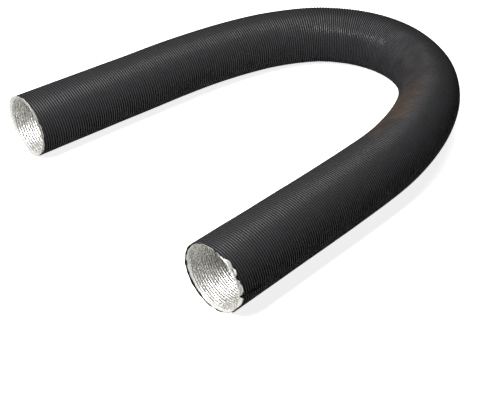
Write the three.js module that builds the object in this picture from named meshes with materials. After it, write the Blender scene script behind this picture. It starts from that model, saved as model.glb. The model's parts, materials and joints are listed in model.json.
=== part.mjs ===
// Flexible hot-air duct lying in a U on the floor. Millimetres, +Z up.
// The wall is three plies: a black jacket, a pale kraft paper core and an aluminium foil liner.
// It is built as stiff sections along the centreline, with flexing turns between them.
import * as THREE from 'three';

// ---- driving dimensions ----

// Centreline on the floor, from the near mouth to the far one: arcs of length and left turn.
// A list chosen by hand.
const ROUTE = [
  { length: 150, turn: 0 },
  { length: 65, turn: 2 },
  { length: 65, turn: 11 },
  { length: 65, turn: 11 },
  { length: 65, turn: 20 },
  { length: 65, turn: 28.5 },
  { length: 65, turn: 35.5 },
  { length: 65, turn: 35 },
  { length: 65, turn: 18.5 },
  { length: 65, turn: 8.5 },
  { length: 65, turn: 5.5 },
  { length: 175, turn: 0 },
];

const SECTIONS = 15;
const FLEX_LENGTH = 20; // stretch of wall that bends between two stiff sections
const GAP = 0.4; // clearance between a stiff section and the flexing turns

const FACETS = 20;
const OUTER_R = 33; // over the rib crests
const RIB_DEPTH = 0.8;
const JACKET_BORE_R = 31.5;
const CORE_R = 31.2;
const CORE_BORE_R = 30.8;
const LINER_R = 30.5;
const BORE_R = 30.1;
const FLEX_R = 32.8; // crests of the flexing turns, just under the sections' own

const RIBS_PER_MM = 1 / 9;
const FLEX_RIBS = 2;
const CORE_SETBACK = 1; // paper edge behind the jacket's cut rim
const LINER_LIP = 2; // foil edge standing out of the cut rim
const MAX_TURN_PER_SPAN = 8; // degrees of bend between two rings of a smooth ply

// ---- colours ----

const BLACK_PLASTIC = { color: 0x161719, roughness: 0.42, metalness: 0 };
const KRAFT_PAPER = { color: 0xcfc9b8, roughness: 0.9, metalness: 0 };
const ALUMINIUM_FOIL = { color: 0xc9cbcc, roughness: 0.3, metalness: 1 };

// ---- centreline ----

const LENGTH = ROUTE.reduce((sum, arc) => sum + arc.length, 0);
const PITCH = LENGTH / SECTIONS;
const FACET_ANGLE = (2 * Math.PI) / FACETS;
const AXIS_HEIGHT = OUTER_R * Math.cos(FACET_ANGLE / 2); // the lowest facets lie on the floor

// Moves a place on the centreline along a circular arc.
function advance(place, length, turn) {
  const half = turn / 2;
  const chord = turn === 0 ? length : (length * Math.sin(half)) / half;
  return {
    x: place.x + chord * Math.cos(place.heading + half),
    y: place.y + chord * Math.sin(place.heading + half),
    heading: place.heading + turn,
  };
}

// Point and heading of the centreline at a distance s from the near mouth. Past either mouth it
// goes straight on.
function centreline(s) {
  let place = { x: 0, y: 0, heading: 0 };
  let left = s;
  if (left < 0) {
    return advance(place, left, 0);
  }
  for (const arc of ROUTE) {
    const length = Math.min(left, arc.length);
    const turn = (THREE.MathUtils.degToRad(arc.turn) * length) / arc.length;
    place = advance(place, length, turn);
    left -= length;
    if (left <= 0) {
      return place;
    }
  }
  return advance(place, left, 0);
}

function turnBetween(from, to) {
  return THREE.MathUtils.radToDeg(centreline(to).heading - centreline(from).heading);
}

// ---- solids ----

// One ring of points square to the centreline.
function ring(s, radius) {
  const { x, y, heading } = centreline(s);
  const points = [];
  for (let i = 0; i < FACETS; i += 1) {
    const angle = (i + 0.5) * FACET_ANGLE;
    const side = radius * Math.cos(angle);
    points.push(
      x - side * Math.sin(heading),
      y + side * Math.cos(heading),
      AXIS_HEIGHT + radius * Math.sin(angle),
    );
  }
  return points;
}

// Closed tube between an outer and an inner profile, each a list of { s, radius } in order of s.
function tube(outer, inner) {
  const rings = [...outer, ...inner.slice().reverse()];
  const positions = rings.flatMap(({ s, radius }) => ring(s, radius));
  const index = [];
  rings.forEach((unused, row) => {
    const next = (row + 1) % rings.length;
    for (let i = 0; i < FACETS; i += 1) {
      const j = (i + 1) % FACETS;
      const a = row * FACETS + i;
      const b = next * FACETS + i;
      const c = next * FACETS + j;
      const d = row * FACETS + j;
      index.push(a, c, b, a, d, c);
    }
  });
  const geometry = new THREE.BufferGeometry();
  geometry.setAttribute('position', new THREE.Float32BufferAttribute(positions, 3));
  geometry.setIndex(index);
  return geometry;
}

// Profile of constant radius, with more rings where the centreline bends.
function smooth(from, to, radius) {
  const spans = Math.max(1, Math.ceil(turnBetween(from, to) / MAX_TURN_PER_SPAN));
  const profile = [];
  for (let i = 0; i <= spans; i += 1) {
    profile.push({ s: from + ((to - from) * i) / spans, radius });
  }
  return profile;
}

// Zigzag profile of ribs that starts and ends at the given radius.
function ribbed(from, to, ribs, endRadius, midRadius) {
  const profile = [];
  for (let i = 0; i <= 2 * ribs; i += 1) {
    const radius = i % 2 === 0 ? endRadius : midRadius;
    profile.push({ s: from + ((to - from) * i) / (2 * ribs), radius });
  }
  return profile;
}

// ---- plies of one stiff section ----

function jacket(from, to) {
  const ribs = Math.round((to - from) * RIBS_PER_MM);
  const outer = ribbed(from, to, ribs, OUTER_R, OUTER_R - RIB_DEPTH);
  return tube(outer, smooth(from, to, JACKET_BORE_R));
}

function ply(from, to, radius, boreRadius) {
  return tube(smooth(from, to, radius), smooth(from, to, boreRadius));
}

function flexTurns(from, to) {
  const outer = ribbed(from, to, FLEX_RIBS, FLEX_R - RIB_DEPTH, FLEX_R);
  return tube(outer, smooth(from, to, BORE_R));
}

// ---- assembly ----

const duct = new THREE.Group();
duct.name = 'flexible_air_duct';

function add(name, geometry, look) {
  const mesh = new THREE.Mesh(geometry, new THREE.MeshStandardMaterial(look));
  mesh.name = name;
  duct.add(mesh);
}

for (let k = 1; k <= SECTIONS; k += 1) {
  const tag = String(k).padStart(2, '0');
  const first = k === 1;
  const last = k === SECTIONS;
  const from = first ? 0 : (k - 1) * PITCH + FLEX_LENGTH / 2;
  const to = last ? LENGTH : k * PITCH - FLEX_LENGTH / 2;
  const coreFrom = first ? from + CORE_SETBACK : from;
  const coreTo = last ? to - CORE_SETBACK : to;
  const linerFrom = first ? from - LINER_LIP : from;
  const linerTo = last ? to + LINER_LIP : to;

  add(`jacket_${tag}`, jacket(from, to), BLACK_PLASTIC);
  add(`paper_core_${tag}`, ply(coreFrom, coreTo, CORE_R, CORE_BORE_R), KRAFT_PAPER);
  add(`foil_liner_${tag}`, ply(linerFrom, linerTo, LINER_R, BORE_R), ALUMINIUM_FOIL);
  if (!last) {
    const flexEnd = to + FLEX_LENGTH - GAP;
    add(`flex_turns_${tag}`, flexTurns(to + GAP, flexEnd), BLACK_PLASTIC);
  }
}

// The origin is the middle of the part's footprint, on the floor.
const footprint = new THREE.Box3().setFromObject(duct);
const middle = footprint.getCenter(new THREE.Vector3());
for (const mesh of duct.children) {
  mesh.geometry.translate(-middle.x, -middle.y, -footprint.min.z);
}

export default duct;
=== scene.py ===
import json
import math

import bpy
import numpy as np
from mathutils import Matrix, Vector


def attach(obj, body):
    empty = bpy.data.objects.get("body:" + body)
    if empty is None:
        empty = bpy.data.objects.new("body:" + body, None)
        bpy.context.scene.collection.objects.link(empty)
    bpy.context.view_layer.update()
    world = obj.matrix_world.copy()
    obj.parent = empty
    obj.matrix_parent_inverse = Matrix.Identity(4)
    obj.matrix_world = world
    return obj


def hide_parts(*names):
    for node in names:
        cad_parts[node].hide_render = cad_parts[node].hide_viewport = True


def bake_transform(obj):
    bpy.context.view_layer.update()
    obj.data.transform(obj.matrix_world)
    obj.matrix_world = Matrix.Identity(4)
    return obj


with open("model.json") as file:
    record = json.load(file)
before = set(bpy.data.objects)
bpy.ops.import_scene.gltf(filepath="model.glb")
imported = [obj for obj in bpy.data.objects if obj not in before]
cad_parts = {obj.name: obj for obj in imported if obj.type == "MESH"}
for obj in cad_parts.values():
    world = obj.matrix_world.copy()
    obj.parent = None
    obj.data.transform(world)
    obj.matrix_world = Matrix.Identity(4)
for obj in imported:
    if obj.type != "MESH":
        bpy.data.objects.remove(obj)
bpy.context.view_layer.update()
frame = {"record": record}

# Flexible hot-air duct lying in a U on the floor. Metres, +Z up.
# The fine helical ribs, the foil liner, the paper between them and the cut ends are built here,
# in lengths that each reach across one joint of the frame. Only the first and last are attached to a
# section.

SEED = 11

# ---- centreline, as in part.mjs ----

ROUTE = [  # (length, left turn in degrees) from the near mouth to the far one
    (0.150, 0.0),
    (0.065, 2.0),
    (0.065, 11.0),
    (0.065, 11.0),
    (0.065, 20.0),
    (0.065, 28.5),
    (0.065, 35.5),
    (0.065, 35.0),
    (0.065, 18.5),
    (0.065, 8.5),
    (0.065, 5.5),
    (0.175, 0.0),
]
SECTIONS = 15
LENGTH = sum(length for length, turn in ROUTE)
PITCH = LENGTH / SECTIONS
STEP = 0.0005
PAST_END = 0.02  # the centreline goes straight on past either mouth

# ---- wall ----

CREST_R = 0.0328
RIB_DEPTH = 0.0008
JACKET_BACK_R = 0.0314
PAPER_R = 0.0313
PAPER_BACK_R = 0.03098
FOIL_BACK_R = 0.0309
FOIL_R = 0.0301  # crests of the foil's ribs, towards the air
FOIL_DEPTH = 0.0007
FOIL_THICKNESS = 0.00018  # of the folded edge at a mouth
STARTS = 5  # ribs side by side in one turn of the helix
RIB_PITCH = [  # (distance along the duct, rib pitch): it is drawn out a little more past the bend
    (0.0, 0.00252),
    (0.24, 0.00252),
    (0.42, 0.0028),
    (0.60, 0.00306),
    (0.75, 0.00302),
    (0.86, 0.00276),
    (LENGTH, 0.00274),
]
RIB_WANDER = 0.10  # sideways, in ribs
RIB_UNEVEN = 0.08  # share of the depth, on the jacket
FOIL_UNEVEN = 0.18
DENT_DEPTH = 0.00008
DENT_LIMIT = 0.00012  # crests lie this far inside CREST_R, and no dent stands out further
BUCKLE_DEPTH = 0.00006
BUCKLE_WANDER = 0.03  # sideways, in ribs
CRINKLE_DEPTH = 0.00005
CUT_REACH = 0.004  # near either cut, the ribs lose depth over this length
DEPTH_AT_CUT = 0.3  # share of the depth left there
PRESSING_BEND = 8.5  # per metre: a bend as tight as this presses its inner wall together fully

# The rubbed place, warm brown with a painted sheen on its crests: its distance along the duct and
# its reach, and then its middle angle, its half width and its softness in degrees.
WORN_SHEEN_AT = 0.29
WORN_SHEEN_REACH = 0.065
WORN_SHEEN_ROUND = (58.0, 14.0, 30.0)

# ---- camera, at the photograph's angle and framing ----

TARGET = Vector((-0.0917, -0.0606, 0.0))
HEADING = math.radians(44.0)
ELEVATION = math.radians(35.7)
DISTANCE = 0.8755
LENS = 66.3
SENSOR = 36.0
SHIFT = (-0.0173, -0.0285)
NEAREST = 0.01
FURTHEST = 50.0


def make_camera():
    data = bpy.data.cameras.new("camera")
    data.lens = LENS
    data.sensor_width = SENSOR
    data.shift_x, data.shift_y = SHIFT
    data.clip_start = NEAREST
    data.clip_end = FURTHEST
    camera = bpy.data.objects.new("camera", data)
    bpy.context.scene.collection.objects.link(camera)
    look = Vector(
        (
            math.cos(HEADING) * math.cos(ELEVATION),
            math.sin(HEADING) * math.cos(ELEVATION),
            -math.sin(ELEVATION),
        )
    )
    camera.location = TARGET - look * DISTANCE
    camera.rotation_mode = "QUATERNION"
    camera.rotation_quaternion = look.to_track_quat("-Z", "Y")
    bpy.context.scene.camera = camera


make_camera()


# ---- the centreline in the row frame ----


def sample_route():
    """Distance, x, y and heading along the centreline, with the near mouth at the origin."""
    s = np.arange(-PAST_END, LENGTH + PAST_END + STEP, STEP)
    ends = np.cumsum([0.0] + [length for length, turn in ROUTE])
    turns = np.radians(np.cumsum([0.0] + [turn for length, turn in ROUTE]))
    heading = np.interp(s, ends, turns)
    mid = (heading[1:] + heading[:-1]) / 2
    x = np.concatenate([[0.0], np.cumsum(np.cos(mid) * STEP)])
    y = np.concatenate([[0.0], np.cumsum(np.sin(mid) * STEP)])
    return s, x - PAST_END, y, heading


ROUTE_S, ROUTE_X, ROUTE_Y, ROUTE_H = sample_route()

# The first joint of the frame is on the centreline one section from the near mouth.
FIRST_JOINT = frame["record"]["behaviour"]["joints"][0]["pos_m"]
ROUTE_X += FIRST_JOINT[0] - np.interp(PITCH, ROUTE_S, ROUTE_X)
ROUTE_Y += FIRST_JOINT[1] - np.interp(PITCH, ROUTE_S, ROUTE_Y)
AXIS_Z = CREST_R


def centre(s):
    """Points on the centreline, and the level direction to the left of it."""
    x = np.interp(s, ROUTE_S, ROUTE_X)
    y = np.interp(s, ROUTE_S, ROUTE_Y)
    h = np.interp(s, ROUTE_S, ROUTE_H)
    zero = np.zeros_like(x)
    return np.stack([x, y, zero + AXIS_Z], -1), np.stack([-np.sin(h), np.cos(h), zero], -1)


def bend_at(s):
    """How tightly the centreline bends, per metre."""
    reach = PITCH / 4
    ahead = np.interp(s + reach, ROUTE_S, ROUTE_H)
    behind = np.interp(s - reach, ROUTE_S, ROUTE_H)
    return (ahead - behind) / (2 * reach)


def count_ribs():
    """How many ribs there are up to each distance along the centreline."""
    places = [place for place, pitch in RIB_PITCH]
    pitches = [pitch for place, pitch in RIB_PITCH]
    return np.cumsum(STEP / np.interp(ROUTE_S, places, pitches))


RIB_COUNT = count_ribs()


# ---- smooth seeded noise over the wall ----


class Noise:
    """Smooth noise in (distance along, angle around), from a seeded sum of waves."""

    def __init__(self, seed, waves, along, around):
        rng = np.random.default_rng(seed)
        self.along = rng.normal(0.0, 1.0, waves) * along
        self.around = np.round(rng.normal(0.0, 1.0, waves) * around)
        self.phase = rng.uniform(0.0, 2 * math.pi, waves)
        self.size = math.sqrt(2.0 / waves)

    def __call__(self, s, angle):
        total = np.zeros(np.broadcast(s, angle).shape)
        for along, around, phase in zip(self.along, self.around, self.phase):
            total += np.sin(along * s + around * angle + phase)
        return total * self.size


PITCH_DRIFT = Noise(SEED + 1, waves=20, along=90.0, around=1.5)
HEIGHT_DRIFT = Noise(SEED + 2, waves=24, along=220.0, around=4.0)
BUCKLE = Noise(SEED + 3, waves=28, along=420.0, around=9.0)
DENT = Noise(SEED + 4, waves=12, along=45.0, around=2.0)
CRINKLE = Noise(SEED + 5, waves=40, along=1500.0, around=30.0)
EDGE = Noise(SEED + 6, waves=24, along=0.0, around=9.0)
RAG = Noise(SEED + 7, waves=30, along=700.0, around=22.0)


# In all that follows, angle is 0 level on the left of the duct, and a quarter turn is up.


def rib_phase(s, angle):
    """Number of the rib at a place on the wall: whole on a crest, and half in a groove."""
    ribs = np.interp(s, ROUTE_S, RIB_COUNT) - STARTS * angle / (2 * math.pi)
    return ribs + RIB_WANDER * PITCH_DRIFT(s, angle)


def rib_wave(phase):
    """1 on the crests of the jacket's ribs, and 0 in its grooves."""
    return 0.5 + 0.5 * np.cos(2 * math.pi * phase)


def around_from(angle, middle, half_width, soft):
    """1 within half_width of a middle angle, falling to 0 over soft more.

    angle is in radians, and the others are in degrees."""
    off = (np.degrees(angle) - middle + 180.0) % 360.0 - 180.0
    t = np.clip((half_width + soft - np.abs(off)) / soft, 0.0, 1.0)
    return t * t * (3 - 2 * t)


def crumple(s, angle):
    """0 on a straight stretch, up to 1 where the wall is pressed together inside the bend."""
    inside = np.clip(0.5 + 0.8 * np.cos(angle), 0.0, 1.0)  # the bend's inner side is the left
    return np.clip(bend_at(s) / PRESSING_BEND, 0.0, 1.0) * inside


def wear_and_sheen(s, angle):
    """Up to 1 where the film is rubbed warm brown and given a painted sheen: the upper inner side,
    just before the tightest bend.
    """
    return np.exp(-(((s - WORN_SHEEN_AT) / WORN_SHEEN_REACH) ** 2)) * around_from(angle, *WORN_SHEEN_ROUND)


# Radius of each surface, as functions of distance and of angle.


def jacket_radius(s, angle):
    press = crumple(s, angle)
    buckle = BUCKLE(s, angle)
    wave = rib_wave(rib_phase(s, angle) + BUCKLE_WANDER * press * buckle)
    depth = RIB_DEPTH * (1.0 + RIB_UNEVEN * HEIGHT_DRIFT(s, angle) * (1 + press))
    from_cut = np.minimum(s, LENGTH - s) / CUT_REACH
    depth = depth * np.clip(DEPTH_AT_CUT + (1 - DEPTH_AT_CUT) * from_cut, DEPTH_AT_CUT, 1.0)
    dent = DENT_DEPTH * DENT(s, angle) + BUCKLE_DEPTH * press * buckle
    return CREST_R - DENT_LIMIT - depth * (1 - np.sqrt(wave)) + np.minimum(dent, DENT_LIMIT)


def foil_radius(s, angle):
    wave = rib_wave(rib_phase(s, angle))
    depth = FOIL_DEPTH * (1.0 + FOIL_UNEVEN * HEIGHT_DRIFT(s, angle))
    return FOIL_R + depth * wave + CRINKLE_DEPTH * CRINKLE(s, angle)


def level(radius):
    """The same radius everywhere."""
    return lambda s, angle: np.full(np.broadcast(s, angle).shape, radius)


# ---- meshes ----

AROUND = 96
ANGLES = np.arange(AROUND) * 2 * math.pi / AROUND
ROW_STEP = 0.00036  # between rows of points along a ribbed surface
COARSER = 12  # a plain surface has this many times fewer rows
NORMAL_STEP = 0.00006  # normals are measured over this far along, and this angle around
NORMAL_TURN = 0.004


def wall_points(s, angle, radius):
    middle, left = centre(s)
    side = (radius * np.cos(angle))[..., None] * left
    up = (radius * np.sin(angle))[..., None] * np.array([0.0, 0.0, 1.0])
    return middle + side + up


def wall_normals(s, angle, radius):
    """Outward normals from the function itself, so that a piece meets the next one unseen."""

    def point(s, angle):
        return wall_points(s, angle, radius(s, angle))

    along = point(s + NORMAL_STEP, angle) - point(s - NORMAL_STEP, angle)
    around = point(s, angle + NORMAL_TURN) - point(s, angle - NORMAL_TURN)
    normal = np.cross(around, along)
    return normal / np.linalg.norm(normal, axis=-1, keepdims=True)


def rings(from_s, to_s, rows, radius):
    """Rows of points round the wall from from_s to to_s, which may be arrays over the angles."""
    t = np.linspace(0.0, 1.0, rows)[:, None]
    s = np.asarray(from_s) * (1 - t) + np.asarray(to_s) * t + np.zeros(AROUND)
    angle = np.zeros_like(s) + ANGLES
    return s, angle, wall_points(s, angle, radius(s, angle)), wall_normals(s, angle, radius)


def shell(name, from_s, to_s, outer, inner, outer_rows, inner_rows):
    """Closed thin tube between two surfaces of the wall."""
    outside = rings(from_s, to_s, outer_rows, outer)
    inside = rings(from_s, to_s, inner_rows, inner)
    s, angle, points = (np.concatenate([a, b[::-1]]) for a, b in zip(outside[:3], inside[:3]))
    normals = np.concatenate([outside[3], -inside[3][::-1]])
    return loft(name, s, angle, points, normals, outer_rows)


def loft(name, s, angle, points, normals, first_rows):
    """Mesh of closed rings joined in order and back to the first one.

    The strips after the first surface and after the last one are flat cut ends."""
    rows, around = s.shape
    here = np.arange(rows * around).reshape(rows, around)
    ahead = np.roll(here, -1, axis=0)
    faces = np.stack([here, np.roll(here, -1, 1), np.roll(ahead, -1, 1), ahead], -1)
    faces = faces.reshape(-1, 4)
    strip = np.arange(len(faces)) // around
    smooth = (strip != first_rows - 1) & (strip != rows - 1)
    mesh = bpy.data.meshes.new(name)
    mesh.vertices.add(rows * around)
    mesh.vertices.foreach_set("co", points.astype(np.float32).ravel())
    mesh.loops.add(faces.size)
    mesh.loops.foreach_set("vertex_index", faces.astype(np.int32).ravel())
    mesh.polygons.add(len(faces))
    mesh.polygons.foreach_set("loop_start", np.arange(0, faces.size, 4, dtype=np.int32))
    mesh.polygons.foreach_set("use_smooth", smooth)
    mesh.update()
    mesh.normals_split_custom_set_from_vertices(normals.reshape(-1, 3))
    rest = mesh.attributes.new("rest", "FLOAT_VECTOR", "POINT")
    rest.data.foreach_set("vector", points.astype(np.float32).ravel())
    # One measure marks the rubbed warm brown place with its painted sheen; crest also feeds the
    # painted highlight lines.
    measures = {"worn_sheen": wear_and_sheen(s, angle), "crest": rib_wave(rib_phase(s, angle))}
    for measure, values in measures.items():
        attribute = mesh.attributes.new(measure, "FLOAT", "POINT")
        attribute.data.foreach_set("value", values.astype(np.float32).ravel())
    obj = bpy.data.objects.new(name, mesh)
    bpy.context.scene.collection.objects.link(obj)
    return obj


# ---- materials ----

FILM_DARK = (0.0014, 0.0015, 0.0018, 1)
FILM_GREY = (0.0026, 0.0026, 0.003, 1)
# Painted highlight: the crests' pale colour stands in for the light gleaming along each rib.
FILM_PAINTED_HIGHLIGHT = (0.048, 0.048, 0.052, 1)
WORN_GROOVE = (0.004, 0.003, 0.0024, 1)
# Warm brown of the rubbed place on the crests, made light enough to be a painted sheen as well.
WORN_CREST_SHEEN = (0.17, 0.115, 0.080, 1)
GROOVE_ROUGHNESS = 0.9
PAPER_DARK = (0.52, 0.49, 0.42, 1)
PAPER_PALE = (0.68, 0.66, 0.59, 1)
FOIL_DULL = (0.47, 0.46, 0.42, 1)
FOIL_BRIGHT = (0.82, 0.81, 0.80, 1)
PRESSED_DULL = (0.52, 0.515, 0.495, 1)
PRESSED_BRIGHT = (0.68, 0.675, 0.655, 1)

# Places of a Mix node's colour sockets: it has sockets of one name for numbers and for colours.
MIX_FACTOR = 0
MIX_FIRST = 6
MIX_SECOND = 7
MIX_RESULT = 2


class Nodes:
    """A node material, written as calls. Scales are per metre and bumps in metres."""

    def __init__(self, name):
        self.material = bpy.data.materials.new(name)
        self.material.use_nodes = True
        self.tree = self.material.node_tree
        self.shader = self.tree.nodes["Principled BSDF"]
        self.rest = self.attribute("rest").outputs["Vector"]

    def make(self, kind, inputs=(), **settings):
        node = self.tree.nodes.new(kind)
        for key, value in settings.items():
            setattr(node, key, value)
        for key, value in dict(inputs).items():
            self.plug(node.inputs[key], value)
        return node

    def plug(self, socket, value):
        if isinstance(value, bpy.types.NodeSocket):
            self.tree.links.new(value, socket)
        else:
            socket.default_value = value

    def attribute(self, name):
        return self.make("ShaderNodeAttribute", attribute_name=name)

    def value(self, name):
        return self.attribute(name).outputs["Fac"]

    def noise(self, scale, detail=4.0, roughness=0.55, distortion=0.0):
        inputs = {
            "Vector": self.rest,
            "Scale": scale,
            "Detail": detail,
            "Roughness": roughness,
            "Distortion": distortion,
        }
        return self.make("ShaderNodeTexNoise", inputs).outputs["Fac"]

    def cell_edges(self, scale):
        inputs = {"Vector": self.rest, "Scale": scale}
        node = self.make("ShaderNodeTexVoronoi", inputs, feature="DISTANCE_TO_EDGE")
        return node.outputs["Distance"]

    def span(self, value, from_low, from_high, to_low=0.0, to_high=1.0):
        inputs = {
            "Value": value,
            "From Min": from_low,
            "From Max": from_high,
            "To Min": to_low,
            "To Max": to_high,
        }
        return self.make("ShaderNodeMapRange", inputs).outputs["Result"]

    def times(self, first, second):
        node = self.make("ShaderNodeMath", {0: first, 1: second}, operation="MULTIPLY")
        return node.outputs[0]

    def mix(self, factor, first, second):
        node = self.make("ShaderNodeMix", data_type="RGBA")
        self.plug(node.inputs[MIX_FACTOR], factor)
        self.plug(node.inputs[MIX_FIRST], first)
        self.plug(node.inputs[MIX_SECOND], second)
        return node.outputs[MIX_RESULT]

    def bump(self, height, distance, strength, normal=None):
        inputs = {"Height": height, "Distance": distance, "Strength": strength}
        if normal is not None:
            inputs["Normal"] = normal
        return self.make("ShaderNodeBump", inputs).outputs["Normal"]

    def surface(self, **inputs):
        names = {
            "color": "Base Color",
            "roughness": "Roughness",
            "metallic": "Metallic",
            "specular": "Specular IOR Level",
            "normal": "Normal",
        }
        for key, value in inputs.items():
            self.plug(self.shader.inputs[names[key]], value)
        return self.material


def black_laminate():
    """Black plastic film over paper: matt grooves, satin crests with painted highlight lines, and a
    rubbed warm brown place with a painted sheen.
    """
    n = Nodes("black_laminate")
    crest = n.span(n.value("crest"), 0.70, 0.95)
    # Painted highlight: the crests are coloured lighter, as lines of light along the ribs; the
    # grooves keep the dark film.
    highlight_lines = n.times(crest, n.span(n.noise(90.0), 0.3, 0.7, to_low=0.75))
    film = n.mix(n.noise(160.0), FILM_DARK, FILM_GREY)
    film = n.mix(highlight_lines, film, FILM_PAINTED_HIGHLIGHT)
    blotches = n.noise(60.0, detail=5.0, roughness=0.62, distortion=0.4)
    patches = n.span(blotches, 0.35, 0.62, to_low=0.35)
    # In the rubbed place the crests take a warm brown that is light enough to be a painted sheen.
    warm = n.mix(highlight_lines, WORN_GROOVE, WORN_CREST_SHEEN)
    color = n.mix(n.times(n.value("worn_sheen"), patches), film, warm)
    satin = n.span(n.noise(210.0, detail=6.0), 0.3, 0.7, to_low=0.25, to_high=0.35)
    shine = n.span(n.value("crest"), 0.45, 0.9)
    roughness = n.span(shine, 0.0, 1.0, to_low=GROOVE_ROUGHNESS, to_high=satin)
    grain = n.noise(1500.0, detail=3.0, roughness=0.6)
    waves = n.noise(330.0, detail=3.0, roughness=0.5)
    fine = n.bump(grain, distance=0.00004, strength=0.4)
    normal = n.bump(waves, distance=0.00010, strength=0.4, normal=fine)
    return n.surface(color=color, roughness=roughness, specular=0.42, normal=normal)


def cream_paper():
    """Pale kraft paper with its fibres."""
    n = Nodes("cream_paper")
    fibres = n.noise(900.0, detail=6.0, roughness=0.7, distortion=1.2)
    fuzz = n.noise(1300.0, detail=5.0, roughness=0.7, distortion=0.8)
    color = n.mix(fibres, PAPER_DARK, PAPER_PALE)
    roughness = n.span(fibres, 0.2, 0.8, to_low=0.75, to_high=0.92)
    normal = n.bump(fuzz, distance=0.00008, strength=0.6)
    return n.surface(color=color, roughness=roughness, specular=0.3, normal=normal)


def crinkled_foil():
    """Aluminium foil with the small creases of being pleated."""
    n = Nodes("crinkled_foil")
    creases = n.span(n.cell_edges(620.0), 0.0, 0.25)
    soft = n.noise(520.0, roughness=0.6, distortion=0.5)
    color = n.mix(n.span(soft, 0.36, 0.64), FOIL_DULL, FOIL_BRIGHT)
    roughness = n.span(n.noise(520.0), 0.3, 0.7, to_low=0.22, to_high=0.40)
    creased = n.bump(creases, distance=0.0002, strength=0.5)
    normal = n.bump(soft, distance=0.0004, strength=0.55, normal=creased)
    return n.surface(color=color, roughness=roughness, metallic=0.64, normal=normal)


def pressed_foil():
    """The same foil where it is pressed flat round the cut ends."""
    n = Nodes("pressed_foil")
    soft = n.noise(420.0, roughness=0.6, distortion=0.5)
    color = n.mix(soft, PRESSED_DULL, PRESSED_BRIGHT)
    roughness = n.span(soft, 0.3, 0.7, to_low=0.32, to_high=0.48)
    normal = n.bump(soft, distance=0.0002, strength=0.4)
    return n.surface(color=color, roughness=roughness, metallic=0.4, normal=normal)


BLACK = black_laminate()
PAPER = cream_paper()
FOIL = crinkled_foil()
PRESSED_FOIL = pressed_foil()


# ---- the cut ends ----

# Where an edge is moved, round a mouth. Each row has a distance in metres, and then the middle
# angle, the half width and the softness in degrees.
JACKET_TORN_AWAY = [(0.0050, 198.0, 12.0, 4.0), (0.0040, 238.0, 8.0, 4.0)]
PAPER_SET_BACK = [(0.0012, -5.0, 50.0, 30.0), (-0.0020, 200.0, 13.0, 5.0)]
NEAR_FOIL_OUT = [
    (0.0016, 146.0, 32.0, 12.0),
    (0.0019, 200.0, 13.0, 5.0),
    (-0.0012, -5.0, 50.0, 30.0),
]
FAR_FOIL_OUT = [(0.0008, -40.0, 8.0, 12.0)]
NEAR_TIP_WIDER = [(0.0004, 146.0, 28.0, 10.0)]
FAR_TIP_WIDER = [(0.0009, 110.0, 45.0, 40.0)]
FOLDED_BACK = (146.0, 28.0, 10.0)  # middle angle, half width and softness of the near fold

JACKET_CUT = 0.0004  # past the near mouth, and short of the far one
JACKET_RAG = 0.00025
PAPER_CUT = 0.0001  # past either mouth
PLY_RAG = 0.0002  # raggedness of the paper's and the foil's edges
NEAR_FOIL_SHORT = 0.0002
FAR_FOIL_LONG = 0.0010
FOLD_LENGTH = 0.0018
FOLD_RAG = 0.0009
NEAR_TIP_R = 0.0311
FAR_TIP_R = 0.0313
NEAR_FLANGE = 0.0002
FAR_FLANGE = 0.0006


def moved(angle, rows):
    """How far an edge is moved at each angle."""
    return sum(
        distance * around_from(angle, middle, half_width, soft)
        for distance, middle, half_width, soft in rows
    )


def ragged_cut(angle):
    """How the knife wandered, the same in every ply."""
    return EDGE(0.0, angle)


def near_jacket_edge(angle):
    """Distance of the jacket's cut from the near mouth: torn away low on the right."""
    return -JACKET_CUT + JACKET_RAG * ragged_cut(angle) + moved(angle, JACKET_TORN_AWAY)


def far_jacket_edge(angle):
    return LENGTH - JACKET_CUT - JACKET_RAG * ragged_cut(angle)


def near_paper_edge(angle):
    return -PAPER_CUT + PLY_RAG * ragged_cut(angle) + moved(angle, PAPER_SET_BACK)


def far_paper_edge(angle):
    return LENGTH + PAPER_CUT - PLY_RAG * ragged_cut(angle)


# The foil's edge at each mouth: how far it stands out, how far it is folded back outside, and
# the radius that it turns at.


def near_reach(angle):
    return -NEAR_FOIL_SHORT + moved(angle, NEAR_FOIL_OUT) + PLY_RAG * ragged_cut(angle)


def near_fold(angle):
    length = FOLD_LENGTH + FOLD_RAG * ragged_cut(angle)
    return np.maximum(length * around_from(angle, *FOLDED_BACK), 0.0)


def near_tip(angle):
    return NEAR_TIP_R + moved(angle, NEAR_TIP_WIDER)


def far_reach(angle):
    return FAR_FOIL_LONG + PLY_RAG * ragged_cut(angle) + moved(angle, FAR_FOIL_OUT)


def no_fold(angle):
    return np.zeros_like(angle)


def far_tip(angle):
    return FAR_TIP_R + moved(angle, FAR_TIP_WIDER)


NEAR_LIP_IN = 0.003  # how far inside a mouth the liner's plain lip takes over from its ribs
FAR_LIP_IN = 0.0014
LIP_AROUND = 240
LIP_ROWS = 14  # from inside the mouth to the tip
TURN_ROWS = 8  # round the tip
FOLD_ROWS = 9  # back over the outside
PLAIN_RISE = 0.0003  # the plain lip starts this far outside the crests of the liner's ribs
PLAIN_CURVE = 2.5  # power with which it flares to the tip
OVER_CREST = 0.0004  # folded foil lies this far outside the jacket's crests
FULL_FOLD = 0.0012  # a fold as long as this is turned back completely
EDGE_CURL = 0.0003  # unfolded foil runs on by this much past the tip, and as much again
RAG_ROWS = 6.0  # the foil grows ragged over this many rows
EDGE_RAG = 0.00004
FOLDED_RAG = 0.0003
RAG_ALONG = 0.8  # raggedness along the duct, as a share of that across it
RAG_PLACES = (3.1, 7.7)  # two places in the noise, one across and one along the duct


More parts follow.
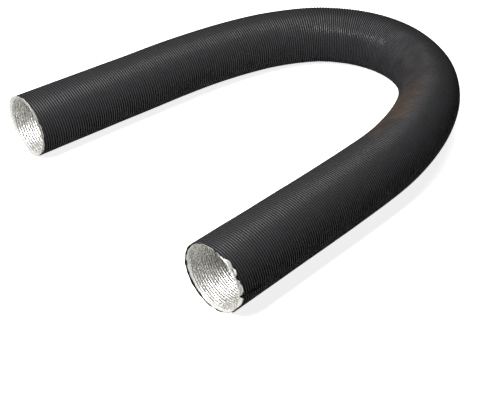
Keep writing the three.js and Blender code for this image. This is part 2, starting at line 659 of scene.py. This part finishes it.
def lip(name, mouth, way, inside, reach, fold, tip, flange):
    """The foil's edge at a mouth: it stands out by reach, and is folded back outside by fold.

    way is -1 at the near mouth and 1 at the far one. inside is where it takes over from the
    ribs, and flange is how far its edge is spread where it isn't folded."""
    angles = np.arange(LIP_AROUND) * 2 * math.pi / LIP_AROUND
    reach, fold, tip = reach(angles), fold(angles), tip(angles)
    folded = np.clip(fold / FULL_FOLD, 0.0, 1.0)
    unfolded = 1 - folded
    outside = CREST_R + OVER_CREST
    half = (outside - tip) / 2
    plain_from = FOIL_R + PLAIN_RISE
    out, radius = [], []
    for t in np.linspace(0.0, 1.0, LIP_ROWS):
        along = -inside * (1 - t) + reach * t
        ribbed = foil_radius(mouth + way * along, angles)
        plain = plain_from + (tip - plain_from) * t**PLAIN_CURVE
        out.append(along)
        radius.append(ribbed * (1 - t) ** 2 + plain * (1 - (1 - t) ** 2))
    for t in np.linspace(0.0, 1.0, TURN_ROWS)[1:]:
        rise, bulge = 1 - math.cos(math.pi * t), math.sin(math.pi * t)
        out.append(reach + folded * half * bulge + unfolded * EDGE_CURL * t)
        radius.append(tip + folded * half * rise + unfolded * flange * t)
    for t in np.linspace(0.0, 1.0, FOLD_ROWS)[1:]:
        out.append(reach - folded * (reach + fold) * t + unfolded * EDGE_CURL * (1 + t))
        radius.append(outside * folded + (tip + flange) * unfolded)
    along, radius = np.array(out), np.array(radius)
    angle = np.zeros_like(along) + angles
    ragged = np.clip(np.arange(len(along)) / RAG_ROWS, 0.0, 1.0)[:, None]
    rag = ragged * (EDGE_RAG + FOLDED_RAG * folded)
    across_place, along_place = RAG_PLACES
    radius = radius + rag * RAG(along + across_place, angle)
    s = mouth + way * (along + RAG_ALONG * rag * RAG(along + along_place, angle))
    if way > 0:
        s, angle, radius = s[::-1], angle[::-1], radius[::-1]
    points = wall_points(s, angle, radius)
    around = np.roll(points, -1, 1) - np.roll(points, 1, 1)
    normals = np.cross(around, np.gradient(points, axis=0))
    normals /= np.linalg.norm(normals, axis=-1, keepdims=True)
    back = points - normals * FOIL_THICKNESS
    s, angle = np.concatenate([s, s[::-1]]), np.concatenate([angle, angle[::-1]])
    points = np.concatenate([points, back[::-1]])
    normals = np.concatenate([normals, -normals[::-1]])
    return loft(name, s, angle, points, normals, len(along))


# ---- the pieces ----


def dress(obj, material):
    obj.data.materials.append(material)
    return obj


def span_of(index):
    """Where length index starts and ends. Joint index is in its middle."""
    return max(index - 0.5, 0.0) * PITCH, min(index + 0.5, SECTIONS) * PITCH


def body(number):
    return f"section_{number:02d}"


def follow(obj, index):
    """Let the piece of an end length ride on its section; any other piece is left where it was
    built."""
    if index in (0, SECTIONS):
        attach(obj, body(max(index, 1)))
        return
    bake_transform(obj)


def make_pieces():
    for index in range(SECTIONS + 1):
        from_s, to_s = span_of(index)
        rows = int(math.ceil((to_s - from_s) / ROW_STEP)) + 1
        coarse = max(rows // COARSER, 3)
        jacket_from = paper_from = foil_from = from_s
        jacket_to = paper_to = foil_to = to_s
        if index == 0:
            jacket_from = near_jacket_edge(ANGLES)
            paper_from = near_paper_edge(ANGLES)
            foil_from = NEAR_LIP_IN
        if index == SECTIONS:
            jacket_to = far_jacket_edge(ANGLES)
            paper_to = far_paper_edge(ANGLES)
            foil_to = LENGTH - FAR_LIP_IN
        tag = f"{index:02d}"
        jacket = shell(
            "jacket_skin_" + tag,
            jacket_from, jacket_to, jacket_radius, level(JACKET_BACK_R), rows, coarse,
        )
        paper = shell(
            "paper_ply_" + tag,
            paper_from, paper_to, level(PAPER_R), level(PAPER_BACK_R), coarse, coarse,
        )
        foil = shell(
            "foil_skin_" + tag,
            foil_from, foil_to, level(FOIL_BACK_R), foil_radius, coarse, rows,
        )
        dress(jacket, BLACK)
        dress(paper, PAPER)
        dress(foil, FOIL)
        for obj in (jacket, paper, foil):
            follow(obj, index)
        stands_for(index)


def stands_for(index):
    """Hide the solids of the frame that a length takes the place of.

    There is one length more than there are sections, so the last but one takes only the
    flexing turns of its joint."""
    if index < SECTIONS - 1:
        number = f"{index + 1:02d}"
    elif index == SECTIONS:
        number = f"{SECTIONS:02d}"
    else:
        number = None
    if number:
        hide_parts("jacket_" + number)
        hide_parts("paper_core_" + number)
        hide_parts("foil_liner_" + number)
    if 0 < index < SECTIONS:
        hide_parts(f"flex_turns_{index:02d}")


def make_lips():
    near = lip("foil_lip_near", 0.0, -1, NEAR_LIP_IN, near_reach, near_fold, near_tip, NEAR_FLANGE)
    far = lip("foil_lip_far", LENGTH, 1, FAR_LIP_IN, far_reach, no_fold, far_tip, FAR_FLANGE)
    for obj, section in ((near, 1), (far, SECTIONS)):
        dress(obj, PRESSED_FOIL)
        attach(obj, body(section))


make_pieces()
make_lips()


# ---- stage and light ----

FLOOR_REACH = 12.0
FLOOR_DROP = 0.0004  # the floor lies this far under the duct, so that they never share a plane
FLOOR_LOOK = {
    "Base Color": (0.86, 0.86, 0.86, 1),
    "Roughness": 0.9,
    "Specular IOR Level": 0.1,
    "Emission Color": (1, 1, 1, 1),
    "Emission Strength": 0.85,
}
WHITE = (1.0, 1.0, 1.0, 1)


def make_floor():
    """A plain pale floor. It lights the duct softly from below and shows in no reflection."""
    mesh = bpy.data.meshes.new("floor")
    reach = FLOOR_REACH
    corners = [(-reach, -reach, 0), (reach, -reach, 0), (reach, reach, 0), (-reach, reach, 0)]
    mesh.from_pydata(corners, [], [(0, 1, 2, 3)])
    floor = bpy.data.objects.new("floor", mesh)
    floor.location.z = -FLOOR_DROP
    bpy.context.scene.collection.objects.link(floor)
    material = bpy.data.materials.new("floor")
    material.use_nodes = True
    shader = material.node_tree.nodes["Principled BSDF"]
    for name, value in FLOOR_LOOK.items():
        shader.inputs[name].default_value = value
    mesh.materials.append(material)
    floor.visible_glossy = False


def softbox(name, place, aim, width, height, power):
    data = bpy.data.lights.new(name, "AREA")
    data.shape = "RECTANGLE"
    data.size, data.size_y = width, height
    data.energy = power
    light = bpy.data.objects.new(name, data)
    light.location = place
    light.rotation_mode = "QUATERNION"
    light.rotation_quaternion = (Vector(aim) - Vector(place)).to_track_quat("-Z", "Y")
    bpy.context.scene.collection.objects.link(light)


def make_world():
    """A white background that the camera sees, and that lights nothing."""
    world = bpy.data.worlds.new("studio")
    world.use_nodes = True
    background = world.node_tree.nodes["Background"]
    background.inputs["Color"].default_value = WHITE
    background.inputs["Strength"].default_value = 1.0
    bpy.context.scene.world = world
    world.cycles_visibility.diffuse = False
    world.cycles_visibility.glossy = False
    bpy.context.scene.view_settings.view_transform = "Standard"


make_floor()
make_world()
softbox(
    "overhead",
    place=(0.1, 0.05, 0.85), aim=(0.1, 0.05, 0.0), width=0.9, height=0.5, power=6.0,
)
softbox(
    "key",
    place=(-0.95, 0.0, 1.0), aim=(-0.1, 0.0, 0.03), width=0.5, height=0.45, power=30.0,
)
